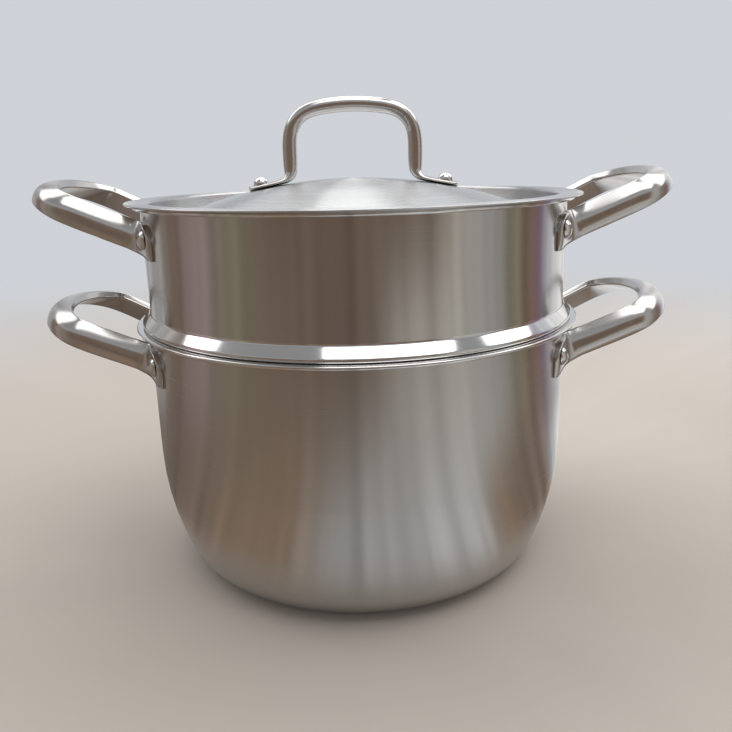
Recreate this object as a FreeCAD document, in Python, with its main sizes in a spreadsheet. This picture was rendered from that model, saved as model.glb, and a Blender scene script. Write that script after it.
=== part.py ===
import FreeCAD, Part
import math
import os
import re
import Sketcher
from FreeCAD import Placement, Rotation, Vector

# Steamer pot: a three-ply pot, a steamer tier that stands on its lip and a lid with an arched handle.
# The base stands on z = 0, the common axis is Z and the side handles point along +X and -X.

# Driving dimensions, in millimetres and degrees
SIZES = (
    ("pot_inner_radius", 120, "inside of the pot wall, half of a nominal 24 cm"),
    ("pot_wall", 2, "three-ply sheet of the pot"),
    ("pot_height", 146, "top of the pot's lip above the base"),
    ("lip_width", 6.7, "reach of the lip out from the pot wall"),
    ("lip_crease", 0.5, "bend from the pot wall into the lip, on its under side"),
    ("side_arc", 155, "long arc that draws the pot wall in, on its outside"),
    ("side_arc_angle", 21.6, "sweep of the long arc"),
    ("corner_arc", 22, "arc from the drawn-in wall to the flat base, on its outside"),
    ("steamer_step", 0.5, "outside of the tier's wall, out from the inside of the pot wall"),
    ("steamer_sheet", 1, "sheet of the tier"),
    ("steamer_height", 66.6, "tier's rim above the pot's lip"),
    ("rim_overhang", 4, "outer edge of the tier's rolled rim, out from its wall"),
    ("rim_roll", 1.2, "radius of the rolled rim"),
    ("rim_bend", 0.8, "rounding of the rim's inner edge"),
    ("shoulder_overhang", 4.8, "widest part of the shoulder on the lip, out from the tier's wall"),
    ("shoulder_angle", 42, "slope of the shoulder from the vertical"),
    ("shoulder_crease", 0.6, "rounding of the shoulder's lower edge, on the inside of the sheet"),
    ("shoulder_fillet", 2, "hollow rounding from the shoulder to the wall"),
    ("spigot_clearance", 1.2, "gap between the tier's spigot and the pot wall"),
    ("spigot_depth", 12, "depth of the spigot below the pot's lip"),
    ("spigot_bend", 1, "bend from the spigot into the shoulder, on its outside"),
    ("floor_crease", 4, "bend from the spigot into the tier's floor, on the inside of the sheet"),
    ("vent_radius", 4, "steam hole in the tier's floor"),
    ("vent_pitch", 22, "distance between the rings of steam holes"),
    ("lid_overhang", 4.3, "outer edge of the lid's brim, out from the tier's rim"),
    ("lid_sheet", 1, "sheet of the lid"),
    ("dome_radius", 290, "sphere of the lid's dome, on its upper side"),
    ("dome_rise", 9.5, "crown of the dome above the brim"),
    ("well_clearance", 2.5, "gap between the lid's sunk ring and the inside of the tier"),
    ("well_bend", 5, "hollow bend at the foot of the dome"),
    ("brim_crease", 1, "bend from the sunk ring into the brim, on its under side"),
    ("rod_radius", 4.25, "round rod of the lid handle"),
    ("lid_handle_half_width", 36, "lid handle's legs from the middle, at the rod's centre"),
    ("lid_handle_rise", 40.6, "top of the lid handle's centre line above the crown"),
    ("lid_handle_corner", 17, "bend at the lid handle's upper corners"),
    ("lid_handle_arch", 120, "arc of the lid handle's bar"),
    ("foot_bend", 6, "bend from a leg into its foot"),
    ("foot_width", 15, "flattened foot of the lid handle"),
    ("foot_thickness", 2.6, "thickness of the flattened foot"),
    ("foot_rivet_reach", 17, "rivet of a foot, out from its leg"),
    ("foot_end_reach", 7, "end of a foot, out from its rivet"),
    ("lid_rivet_head", 4.6, "radius of a lid rivet's head"),
    ("lid_rivet_dome", 4.2, "height of a lid rivet's head"),
    ("handle_reach", 52.6, "centre line of a loop handle's end, out from the wall"),
    ("handle_half_width", 43.7, "widest part of the loop's centre line from the middle"),
    ("handle_end_depth", 21.4, "depth of the loop's rounded end"),
    ("handle_splay", 9.5, "angle between an arm and the middle line"),
    ("handle_rise", 26.8, "loop's end above the rivets"),
    ("handle_strap", 16.3, "long side of the loop's oval section"),
    ("handle_thickness", 7, "short side of the loop's oval section"),
    ("handle_lean", 40, "lean of the section, its top towards the finger gap"),
    ("handle_root_bend", 9, "bend from an arm into its pad"),
    ("pad_end_angle", 4.2, "end of a pad, on from its rivet, as an angle about the pot's axis"),
    ("pad_height", 22.6, "height of a pad"),
    ("pad_thickness", 3, "thickness of a pad"),
    ("seat_gap", 0.05, "between a pad or foot and the sheet under it"),
    ("rivet_angle", 28, "rivet of a pad, as an angle about the pot's axis"),
    ("pot_rivet_drop", 17.7, "rivets of the pot's handles, below its lip"),
    ("steamer_rivet_drop", 16.7, "rivets of the tier's handles, below its rim"),
    ("rivet_head", 4.9, "radius of a pad rivet's head"),
    ("rivet_dome", 2.8, "height of a pad rivet's head"),
    ("rivet_shank", 2.5, "radius of a rivet's shank"),
    ("rivet_inner_dome", 1.6, "height of a rivet's head on the inside"),
    ("shank_gap", 0.1, "between a shank and its hole"),
)
NAMES = {name for name, value, meaning in SIZES}
VENT_RINGS = 4
RING_POINTS = 8
STEP_TURN = 60

doc = FreeCAD.newDocument("SteamerPot")
sheet = doc.addObject("Spreadsheet::Sheet", "Sizes")
for row, (name, value, meaning) in enumerate(SIZES, 1):
    sheet.set(f"A{row}", meaning)
    sheet.set(f"B{row}", str(value))
    sheet.setAlias(f"B{row}", name)
doc.recompute()


def size(name):
    return float(getattr(sheet, name))


def bound(formula):
    """Write a formula in the sheet's names as an expression of the document."""
    return re.sub(r"[a-z_]+", lambda word: "Sizes." + word[0] if word[0] in NAMES else word[0], formula)


def number(owner, formula):
    result = owner.evalExpression(bound(formula))
    return float(getattr(result, "Value", result))


def bind(owner, path, formula):
    owner.setExpression(path, bound(formula))


def origin_plane(body, role):
    return next(item for item in body.Origin.OriginFeatures if item.Role == role)


def arc_between(start, end, radius, turn):
    """Arc of a circle from start to end, turning left (+1) or right (-1), under half a circle."""
    chord = end - start
    middle = (start + end) * 0.5
    left = Vector(-chord.y, chord.x, 0).normalize()
    centre = middle + left * turn * math.sqrt(max(radius ** 2 - (chord.Length / 2) ** 2, 0))
    first, last = (start, end) if turn > 0 else (end, start)
    angles = [math.atan2(point.y - centre.y, point.x - centre.x) for point in (first, last)]
    return Part.ArcOfCircle(Part.Circle(centre, Vector(0, 0, 1), radius), *angles)


def outline(body, name, corners):
    """Sketch a closed outline in the body's XZ plane, every corner and radius bound to the sheet.

    A corner is (radius, height) where a straight edge leads to it, and (radius, height, arc radius, turn)
    where an arc does. The last corner leads straight back to the first.
    """
    sketch = body.newObject("Sketcher::SketchObject", name)
    sketch.AttachmentSupport = (origin_plane(body, "XZ_Plane"), "")
    sketch.MapMode = "FlatFace"
    places = [Vector(number(sketch, corner[0]), number(sketch, corner[1]), 0) for corner in corners]
    edges = []
    for index, corner in enumerate(corners):
        start, end = places[index - 1], places[index]
        if len(corner) == 2:
            edges.append((sketch.addGeometry(Part.LineSegment(start, end), False), 1, 2))
            continue
        radius = number(sketch, corner[2])
        edge = sketch.addGeometry(arc_between(start, end, radius, corner[3]), False)
        edges.append((edge, 1, 2) if corner[3] > 0 else (edge, 2, 1))
        rule = sketch.addConstraint(Sketcher.Constraint("Radius", edge, radius))
        bind(sketch, f"Constraints[{rule}]", corner[2])
    for index, corner in enumerate(corners):
        edge, _, last = edges[index]
        following, first, _ = edges[(index + 1) % len(edges)]
        sketch.addConstraint(Sketcher.Constraint("Coincident", edge, last, following, first))
        for kind, axis, formula in (("DistanceX", -2, corner[0]), ("DistanceY", -1, corner[1])):
            if formula == "0":
                sketch.addConstraint(Sketcher.Constraint("PointOnObject", edge, last, axis))
                continue
            distance = number(sketch, formula)
            rule = sketch.addConstraint(Sketcher.Constraint(kind, -1, 1, edge, last, distance))
            bind(sketch, f"Constraints[{rule}]", formula)
    return sketch


def turned_body(name, corners):
    """Body made by turning an outline about its own Z axis."""
    body = doc.addObject("PartDesign::Body", name)
    sketch = outline(body, name + "_outline", corners)
    turned = body.newObject("PartDesign::Revolution", name + "_turned")
    turned.Profile = sketch
    turned.ReferenceAxis = (sketch, ["V_Axis"])
    turned.Angle = 360
    sketch.Visibility = False
    return body


def cylinder(name, radius, length, place):
    tool = doc.addObject("Part::Cylinder", name)
    bind(tool, "Radius", radius)
    bind(tool, "Height", length)
    tool.Placement = place
    return tool


def cut(label, base, tools):
    """Cut the joined tools out of the base."""
    tool = tools[0]
    if len(tools) > 1:
        tool = doc.addObject("Part::MultiFuse", label + "_tools")
        tool.Shapes = tools
    result = doc.addObject("Part::Cut", label)
    result.Base = base
    result.Tool = tool
    return result


def radial_place(distance, angle, height):
    """Placement whose Z axis points away from the pot's axis."""
    turn = math.radians(angle)
    away = Vector(math.cos(turn), math.sin(turn), 0)
    return Placement(away * distance + Vector(0, 0, height), Rotation(Vector(0, 0, 1), away))


# Heights and radii that several pieces share, as formulas in the sheet's names
POT_OUTER = "(pot_inner_radius + pot_wall)"
LIP_RADIUS = f"({POT_OUTER} + lip_width)"
STEAMER_OUTER = "(pot_inner_radius + steamer_step)"
STEAMER_INSIDE = f"({STEAMER_OUTER} - steamer_sheet)"
RIM_RADIUS = f"({STEAMER_OUTER} + rim_overhang)"
LID_RADIUS = f"({RIM_RADIUS} + lid_overhang)"
WELL_RADIUS = f"({STEAMER_INSIDE} - well_clearance - lid_sheet)"
RIM_TOP = "(pot_height + steamer_height)"
BRIM_TOP = f"({RIM_TOP} + lid_sheet)"
CROWN = f"({BRIM_TOP} + dome_rise)"
SPIGOT = "(pot_inner_radius - spigot_clearance)"
POT_RIVET_HEIGHT = "(pot_height - pot_rivet_drop)"
STEAMER_RIVET_HEIGHT = f"({RIM_TOP} - steamer_rivet_drop)"
HOLE_RADIUS = "rivet_shank + shank_gap"
LID_RIVET_PLACE = "(lid_handle_half_width + foot_rivet_reach)"

# Names of the four pads and their angles about the pot's axis, in degrees from +X
PADS = (
    ("right_front", -size("rivet_angle")),
    ("right_rear", size("rivet_angle")),
    ("left_rear", 180 - size("rivet_angle")),
    ("left_front", 180 + size("rivet_angle")),
)


def wall_holes(name, height):
    """Tools for the rivet holes of a vessel's wall, from inside the wall to past the pads."""
    start = size("pot_inner_radius") - 2 * size("handle_thickness")
    level = number(sheet, height)
    return [
        cylinder(f"{name}_{pad}", HOLE_RADIUS, "4 * handle_thickness", radial_place(start, angle, level))
        for pad, angle in PADS
    ]


def make_pot():
    inset = "side_arc * (1 - cos(side_arc_angle))"
    bend_start = "(side_arc * sin(side_arc_angle) + corner_arc * (1 - sin(side_arc_angle)))"
    base_radius = f"{POT_OUTER} - {inset} - corner_arc * cos(side_arc_angle)"
    inner_side = "(side_arc - pot_wall)"
    inner_bend = "(lip_crease + pot_wall)"
    half_wall = "pot_wall / 2"
    shell = turned_body("pot_shell", [
        ("0", "0"),
        (base_radius, "0"),
        (f"{POT_OUTER} - {inset}", "corner_arc * (1 - sin(side_arc_angle))", "corner_arc", 1),
        (POT_OUTER, bend_start, "side_arc", 1),
        (POT_OUTER, f"pot_height - {inner_bend}"),
        (f"{POT_OUTER} + lip_crease", "pot_height - pot_wall", "lip_crease", -1),
        (f"{LIP_RADIUS} - {half_wall}", "pot_height - pot_wall"),
        (LIP_RADIUS, f"pot_height - {half_wall}", half_wall, 1),
        (f"{LIP_RADIUS} - {half_wall}", "pot_height", half_wall, 1),
        (f"pot_inner_radius + {inner_bend}", "pot_height"),
        ("pot_inner_radius", f"pot_height - {inner_bend}", inner_bend, 1),
        ("pot_inner_radius", bend_start),
        (f"{POT_OUTER} - side_arc + {inner_side} * cos(side_arc_angle)",
         f"{bend_start} - {inner_side} * sin(side_arc_angle)", inner_side, -1),
        (base_radius, "pot_wall", "corner_arc - pot_wall", -1),
        ("0", "pot_wall"),
    ])
    return cut("pot_body", shell, wall_holes("pot_hole", POT_RIVET_HEIGHT))


def make_steamer():
    floor = "(pot_height - spigot_depth)"
    inside = STEAMER_INSIDE
    nose = "(shoulder_crease + steamer_sheet)"
    nose_radius = f"({STEAMER_OUTER} + shoulder_overhang - {nose})"
    nose_height = f"(pot_height + {nose})"
    inner_fillet = "(shoulder_fillet + steamer_sheet)"
    fillet_centre = f"({STEAMER_OUTER} + shoulder_fillet)"
    slope = (f"(({nose_radius} - {fillet_centre} + ({nose} + shoulder_fillet) * cos(shoulder_angle))"
             " / sin(shoulder_angle))")
    fillet_height = (f"({nose_height} + ({nose} + shoulder_fillet) * sin(shoulder_angle)"
                     f" + {slope} * cos(shoulder_angle))")
    corner = "(floor_crease + steamer_sheet)"
    inner_bend = "(spigot_bend + steamer_sheet)"
    body = turned_body("steamer_shell", [
        ("0", floor),
        (f"{SPIGOT} - {corner}", floor),
        (SPIGOT, f"{floor} + {corner}", corner, 1),
        (SPIGOT, "pot_height - spigot_bend"),
        (f"{SPIGOT} + spigot_bend", "pot_height", "spigot_bend", -1),
        (nose_radius, "pot_height"),
        (f"{nose_radius} + {nose} * cos(shoulder_angle)",
         f"{nose_height} + {nose} * sin(shoulder_angle)", nose, 1),
        (f"{fillet_centre} - shoulder_fillet * cos(shoulder_angle)",
         f"{fillet_height} - shoulder_fillet * sin(shoulder_angle)"),
        (STEAMER_OUTER, fillet_height, "shoulder_fillet", -1),
        (STEAMER_OUTER, f"{RIM_TOP} - 2 * rim_roll"),
        (f"{RIM_RADIUS} - rim_roll", f"{RIM_TOP} - 2 * rim_roll"),
        (RIM_RADIUS, f"{RIM_TOP} - rim_roll", "rim_roll", 1),
        (f"{RIM_RADIUS} - rim_roll", RIM_TOP, "rim_roll", 1),
        (f"{inside} + rim_bend", RIM_TOP),
        (inside, f"{RIM_TOP} - rim_bend", "rim_bend", 1),
        (inside, fillet_height),
        (f"{fillet_centre} - {inner_fillet} * cos(shoulder_angle)",
         f"{fillet_height} - {inner_fillet} * sin(shoulder_angle)", inner_fillet, 1),
        (f"{nose_radius} + shoulder_crease * cos(shoulder_angle)",
         f"{nose_height} + shoulder_crease * sin(shoulder_angle)"),
        (nose_radius, "pot_height + steamer_sheet", "shoulder_crease", -1),
        (f"{SPIGOT} + spigot_bend", "pot_height + steamer_sheet"),
        (f"{SPIGOT} - steamer_sheet", "pot_height - spigot_bend", inner_bend, 1),
        (f"{SPIGOT} - steamer_sheet", f"{floor} + {corner}"),
        (f"{SPIGOT} - {corner}", f"{floor} + steamer_sheet", "floor_crease", -1),
        ("0", f"{floor} + steamer_sheet"),
    ])
    add_vents(body)
    return cut("steamer_body", body, wall_holes("steamer_hole", STEAMER_RIVET_HEIGHT))


def vent_pocket(body, name, places):
    """Cut round steam holes through the tier's floor; a place is a pair of formulas."""
    sketch = body.newObject("Sketcher::SketchObject", name + "_outline")
    sketch.AttachmentSupport = (origin_plane(body, "XY_Plane"), "")
    sketch.MapMode = "FlatFace"
    for place in places:
        centre = Vector(number(sketch, place[0]), number(sketch, place[1]), 0)
        circle = Part.Circle(centre, Vector(0, 0, 1), size("vent_radius"))
        hole = sketch.addGeometry(circle, False)
        rule = sketch.addConstraint(Sketcher.Constraint("Radius", hole, size("vent_radius")))
        bind(sketch, f"Constraints[{rule}]", "vent_radius")
        steps = (("DistanceX", -2, place[0], centre.x), ("DistanceY", -1, place[1], centre.y))
        for kind, axis, formula, value in steps:
            if formula == "0":
                sketch.addConstraint(Sketcher.Constraint("PointOnObject", hole, 3, axis))
                continue
            rule = sketch.addConstraint(Sketcher.Constraint(kind, -1, 1, hole, 3, value))
            bind(sketch, f"Constraints[{rule}]", formula)
    pocket = body.newObject("PartDesign::Pocket", name)
    pocket.Profile = sketch
    pocket.Type = "ThroughAll"
    pocket.Reversed = True
    sketch.Visibility = False
    return pocket


def add_vents(body):
    """One hole in the middle and rings round it: a sixth of each ring is cut and turned about the axis."""
    doc.recompute()
    whole = body.Shape.Volume
    vent_pocket(body, "vent_middle", [("0", "0")])
    sector = []
    for ring in range(1, VENT_RINGS + 1):
        sector.append((f"{ring} * vent_pitch", "0"))
        for step in range(1, ring):
            turn = STEP_TURN * step / ring
            sector.append((f"{ring} * vent_pitch * cos({turn})", f"{ring} * vent_pitch * sin({turn})"))
    pocket = vent_pocket(body, "vent_sector", sector)
    doc.recompute()
    pattern = body.newObject("PartDesign::PolarPattern", "vent_pattern")
    pattern.Originals = [pocket]
    pattern.Axis = (pocket.Profile[0], ["N_Axis"])
    pattern.Angle = 360
    pattern.Occurrences = 360 // STEP_TURN
    body.Tip = pattern
    doc.recompute()
    holes = 1 + len(sector) * (360 // STEP_TURN)
    removed = holes * math.pi * size("vent_radius") ** 2 * size("steamer_sheet")
    if abs(whole - body.Shape.Volume - removed) > removed / 100:
        raise RuntimeError("the steam holes don't go through the tier's floor")


def foot_place():
    """Placement on the lid's dome at a foot's rivet: X along the foot, Z out of the sheet."""
    slope = math.asin(number(sheet, LID_RIVET_PLACE) / size("dome_radius"))
    normal = Vector(math.sin(slope), 0, math.cos(slope))
    along = Vector(math.cos(slope), 0, -math.sin(slope))
    centre = Vector(0, 0, number(sheet, CROWN) - size("dome_radius"))
    return Placement(centre + normal * size("dome_radius"), Rotation(along, Vector(0, 1, 0), normal))


def mirrored_place(place):
    """The same placement on the other side of the object, half a turn about Z."""
    return Placement(Vector(), Rotation(Vector(0, 0, 1), 180)).multiply(place)


def make_lid():
    sheet_dome = "(dome_radius - lid_sheet)"
    centre = f"({CROWN} - dome_radius)"
    slope = f"asin(({WELL_RADIUS} - well_bend) / (dome_radius + well_bend))"
    well_centre = f"({centre} + (dome_radius + well_bend) * cos({slope}))"
    brim_bend = "(brim_crease + lid_sheet)"
    half_sheet = "lid_sheet / 2"
    shell = turned_body("lid_shell", [
        ("0", f"{CROWN} - lid_sheet"),
        (f"{sheet_dome} * sin({slope})", f"{centre} + {sheet_dome} * cos({slope})", sheet_dome, -1),
        (f"{WELL_RADIUS} + lid_sheet", well_centre, "well_bend + lid_sheet", 1),
        (f"{WELL_RADIUS} + lid_sheet", f"{BRIM_TOP} - {brim_bend}"),
        (f"{WELL_RADIUS} + {brim_bend}", RIM_TOP, "brim_crease", -1),
        (f"{LID_RADIUS} - {half_sheet}", RIM_TOP),
        (LID_RADIUS, f"{RIM_TOP} + {half_sheet}", half_sheet, 1),
        (f"{LID_RADIUS} - {half_sheet}", BRIM_TOP, half_sheet, 1),
        (f"{WELL_RADIUS} + {brim_bend}", BRIM_TOP),
        (WELL_RADIUS, f"{BRIM_TOP} - {brim_bend}", brim_bend, 1),
        (WELL_RADIUS, well_centre),
        (f"dome_radius * sin({slope})", f"{centre} + dome_radius * cos({slope})", "well_bend", -1),
        ("0", CROWN, "dome_radius", 1),
    ])
    place = foot_place().multiply(Placement(Vector(0, 0, -2 * size("foot_thickness")), Rotation()))
    holes = [
        cylinder("lid_hole_right", HOLE_RADIUS, "4 * foot_thickness", place),
        cylinder("lid_hole_left", HOLE_RADIUS, "4 * foot_thickness", mirrored_place(place)),
    ]
    return cut("lid", shell, holes)


def oval_ring(centre, long_axis, short_axis, squareness):
    """Control points round an oval: an ellipse at squareness 2, nearer to a rectangle above it."""
    # A cubic curve runs inside its control points by this share of their distance from the centre
    grow = 3 / (2 + math.cos(2 * math.pi / RING_POINTS))
    ring = []
    for step in range(RING_POINTS):
        turn = 2 * math.pi * step / RING_POINTS
        along = math.copysign(abs(math.cos(turn)) ** (2 / squareness), math.cos(turn))
        across = math.copysign(abs(math.sin(turn)) ** (2 / squareness), math.sin(turn))
        ring.append(centre + long_axis * along * grow + short_axis * across * grow)
    return ring


def skinned(name, sections):
    """Solid with one smooth skin drawn along a row of oval sections and a flat cap on each end."""
    rings = [oval_ring(*section) for section in sections]
    poles = [[ring[step] for ring in rings] for step in range(RING_POINTS)]
    around = list(range(RING_POINTS + 1))
    along = list(range(len(rings) - 2))
    along_counts = [4] + [1] * (len(along) - 2) + [4]
    surface = Part.BSplineSurface()
    surface.buildFromPolesMultsKnots(poles, [1] * len(around), along_counts, around, along, True, False, 3, 3)
    skin = surface.toShape()
    ends = [edge for edge in skin.Edges if not edge.isSeam(skin)]
    shell = Part.makeShell([skin] + [Part.Face(Part.Wire([edge])) for edge in ends])
    shell.sewShape()
    solid = Part.makeSolid(shell)
    if solid.Volume < 0:
        solid.reverse()
    feature = doc.addObject("Part::Feature", name)
    feature.Shape = solid
    return feature


def mix(low, high, share):
    return low + (high - low) * share


def loop_half(wall, height):
    """Stations of a loop handle from the middle of its end to the end of one pad.

    Each is (centre, direction of travel, tilt of the loop, share of the pad's form, pad height and
    thickness left).
    """
    end = wall + size("handle_reach")
    depth, half_width = size("handle_end_depth"), size("handle_half_width")
    splay, bend = math.radians(size("handle_splay")), size("handle_root_bend")
    pad_middle = wall + size("pad_thickness") / 3

    # The bend's centre lies beside the arm's straight line and outside the pad's circle
    outward = Vector(math.cos(splay), math.sin(splay), 0)
    beside = Vector(-math.sin(splay), math.cos(splay), 0)
    arm_start = Vector(end - depth, half_width, 0)
    guide = arm_start + beside * bend
    along = guide.dot(outward)
    back = along - math.sqrt(along ** 2 - guide.dot(guide) + (pad_middle + bend) ** 2)
    bend_centre = guide - outward * back
    pad_start = math.atan2(bend_centre.y, bend_centre.x)
    arm_end = bend_centre - beside * bend

    def lifted(point, heading, pad_share, pad_left=(1, 1)):
        # The loop rises from the pad with a soft start
        soft = 0.08
        start = pad_middle * math.cos(pad_start)
        run = end - start
        progress = max(point.x - start, 0) / run
        rise = (1 + soft) * progress ** 2 / (progress + soft)
        tilt = (1 + soft) * (progress ** 2 + 2 * progress * soft) / (progress + soft) ** 2
        tilt *= size("handle_rise") / run
        centre = Vector(point.x, point.y, height + size("handle_rise") * rise)
        travel = Vector(math.cos(heading), math.sin(heading), tilt * math.cos(heading))
        return centre, travel.normalize(), tilt, pad_share, pad_left

    stations = []
    for step in (0, 18, 36, 54, 72, 90):
        turn = math.radians(step)
        point = Vector(end - depth + depth * math.cos(turn), half_width * math.sin(turn), 0)
        heading = math.atan2(half_width * math.cos(turn), -depth * math.sin(turn))
        stations.append(lifted(point, heading if step < 90 else math.pi, 0))
    stations.append(lifted((arm_start + arm_end) * 0.5, math.pi + splay, 0))
    first_turn = math.pi + splay
    last_turn = math.pi / 2 + pad_start
    for share, pad_share in ((0, 0.12), (0.35, 0.42), (0.7, 0.74), (1, 0.94)):
        heading = mix(first_turn, last_turn, share)
        radius = Vector(-math.sin(heading), math.cos(heading), 0) * bend
        stations.append(lifted(bend_centre + radius, heading, pad_share))
    rivet = math.radians(size("rivet_angle"))
    last = rivet + math.radians(size("pad_end_angle"))
    pad_forms = ((-0.3, 1, 1), (0.2, 1, 1), (0.65, 0.96, 0.95), (0.9, 0.84, 0.75), (1, 0.7, 0.4))
    for share, *pad_left in pad_forms:
        angle = mix(rivet, last, share)
        point = Vector(math.cos(angle), math.sin(angle), 0) * pad_middle
        stations.append(lifted(point, math.pi / 2 + angle, 1, pad_left))
    return stations


def loop_section(station):
    """Section of a loop handle: a leaned oval on the arms that becomes an upright plate on the pads."""
    centre, travel, tilt, pad_share, (height_left, thickness_left) = station
    plane_normal = Vector(-tilt, 0, 1).normalize()
    outside = travel.cross(plane_normal).normalize()
    upright = outside.cross(travel)
    lean = math.radians(size("handle_lean")) * (1 - pad_share)
    long_axis = upright * math.cos(lean) - outside * math.sin(lean)
    short_axis = upright * math.sin(lean) + outside * math.cos(lean)
    long_half = mix(size("handle_strap"), size("pad_height") * height_left, pad_share) / 2
    pad_half = size("pad_thickness") * 2 / 3 * thickness_left
    short_half = mix(size("handle_thickness") / 2, pad_half, pad_share)
    # A pad's end loses most of its height at the top
    centre = centre - Vector(0, 0, 0.35) * size("pad_height") * (1 - height_left)
    return centre, long_axis * long_half, short_axis * short_half, mix(2.3, 3, pad_share)


def make_loop_handles(vessel, wall_formula, height_formula):
    """Both loop handles of a vessel: a skin round the loop, trimmed to the wall and drilled for rivets."""
    wall, height = number(sheet, wall_formula), number(sheet, height_formula)
    rear = loop_half(wall, height)
    front = []
    for centre, travel, *form in reversed(rear[1:]):
        front.append((Vector(centre.x, -centre.y, centre.z), Vector(-travel.x, travel.y, -travel.z), *form))
    blank = skinned(f"{vessel}_loop", [loop_section(station) for station in front + rear])

    reach = "2 * handle_strap"
    level = Placement(Vector(0, 0, height - size("handle_strap")), Rotation())
    tools = [cylinder(f"{vessel}_wall_room", f"{wall_formula} + seat_gap", "2 * handle_strap", level)]
    seat = wall + size("pad_thickness") - size("seat_gap")
    for pad, angle in PADS[:2]:
        hole_place = radial_place(wall - size("handle_thickness"), angle, height)
        seat_place = radial_place(seat, angle, height)
        tools.append(cylinder(f"{vessel}_{pad}_hole", HOLE_RADIUS, reach, hole_place))
        head_room = "rivet_head + 4 * shank_gap"
        tools.append(cylinder(f"{vessel}_{pad}_seat", head_room, "2 * rivet_dome", seat_place))
    right = cut(f"{vessel}_handle_right", blank, tools)
    left = doc.addObject("Part::Cut", f"{vessel}_handle_left")
    left.Base, left.Tool = right.Base, right.Tool
    left.Placement = Placement(Vector(), Rotation(Vector(0, 0, 1), 180))
    return [right, left]


def make_lid_handle():
    """Arched rod with flattened feet that follow the lid's dome, lofted in the XZ plane."""
    rod, half_width = size("rod_radius"), size("lid_handle_half_width")
    corner, arch, bend = size("lid_handle_corner"), size("lid_handle_arch"), size("foot_bend")
    crown = number(sheet, CROWN)
    seat = foot_place()
    normal, along = seat.Rotation.multVec(Vector(0, 0, 1)), seat.Rotation.multVec(Vector(1, 0, 0))
    foot = seat.Base + normal * (size("foot_thickness") / 2)
    foot_end = size("foot_end_reach") / along.x
    bend_start = (half_width + bend - foot.x - bend * normal.x) / along.x
    bend_centre = foot + along * bend_start + normal * bend
    arch_centre = Vector(0, 0, crown + size("lid_handle_rise") - arch)
    corner_x = half_width - corner
    corner_centre = arch_centre + Vector(corner_x, 0, math.sqrt((arch - corner) ** 2 - corner_x ** 2))
    to_corner = corner_centre - arch_centre
    corner_turn = math.atan2(to_corner.z, to_corner.x)
    flat_turn = math.atan2(-normal.z, -normal.x)

    # From the middle of the bar to the end of a foot: centre, outward normal, share of foot, width left
    stations = []
    for share in (1, 0.5):
        turn = mix(corner_turn, math.pi / 2, share)
        ray = Vector(math.cos(turn), 0, math.sin(turn))
        stations.append((arch_centre + ray * arch, ray, 0, 1))
    for share in (0, 0.33, 0.67, 1):
        turn = mix(corner_turn, 0, share)
        ray = Vector(math.cos(turn), 0, math.sin(turn))
        stations.append((corner_centre + ray * corner, ray, 0, 1))
    leg_foot = Vector(half_width, 0, bend_centre.z)
    leg_top = stations[-1][0]
    for share, foot_share in ((0.5, 0), (0.9, 0.04)):
        stations.append((leg_top + (leg_foot - leg_top) * share, Vector(1, 0, 0), foot_share, 1))
    for share, foot_share in ((0.2, 0.2), (0.6, 0.6), (1, 0.95)):
        turn = mix(-math.pi, flat_turn, share)
        ray = Vector(math.cos(turn), 0, math.sin(turn))
        stations.append((bend_centre + ray * bend, ray * -1, foot_share, 1))
    for share, width_left in ((0.5, 1), (0.8, 0.93), (0.94, 0.7), (1, 0.45)):
        place = foot + along * mix(bend_start, foot_end, share)
        stations.append((place, normal, 1, width_left))

    sections = []
    for side, group in ((-1, reversed(stations[1:])), (1, stations)):
        for centre, outward, foot_share, width_left in group:
            across = Vector(0, 1, 0) * mix(rod, size("foot_width") / 2 * width_left, foot_share)
            depth = mix(rod, size("foot_thickness") / 2, foot_share)
            through = Vector(outward.x * side, 0, outward.z) * depth
            place = Vector(centre.x * side, 0, centre.z)
            sections.append((place, across, through, mix(2, 3, foot_share)))
    blank = skinned("lid_handle_rod", sections)

    dome = doc.addObject("Part::Sphere", "lid_dome_room")
    bind(dome, "Radius", "dome_radius + seat_gap")
    dome.Placement = Placement(Vector(0, 0, crown - size("dome_radius")), Rotation())
    tools = [dome]
    down = Placement(Vector(0, 0, -2 * size("foot_thickness")), Rotation())
    up = Placement(Vector(0, 0, size("foot_thickness") - size("seat_gap")), Rotation())
    for side, place in (("right", seat), ("left", mirrored_place(seat))):
        tools.append(cylinder(f"foot_{side}_hole", HOLE_RADIUS, "4 * foot_thickness", place.multiply(down)))
        head = "lid_rivet_head + 4 * shank_gap"
        tools.append(cylinder(f"foot_{side}_seat", head, "lid_rivet_dome", place.multiply(up)))
    return cut("lid_handle", blank, tools)


def make_rivet(label, head, dome, grip, place):
    """Rivet along its own Z axis: the inside head ends at z = 0 and the outer head starts at the grip."""
    ball = f"(({head}) ^ 2 + ({dome}) ^ 2) / (2 * ({dome}))"
    inner_ball = f"(({head}) ^ 2 + rivet_inner_dome ^ 2) / (2 * rivet_inner_dome)"
    body = turned_body(label, [
        ("0", "-rivet_inner_dome"),
        (head, "0", inner_ball, 1),
        ("rivet_shank", "0"),
        ("rivet_shank", grip),
        (head, grip),
        ("0", f"{grip} + {dome}", ball, 1),
    ])
    body.Placement = place
    return body


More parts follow.
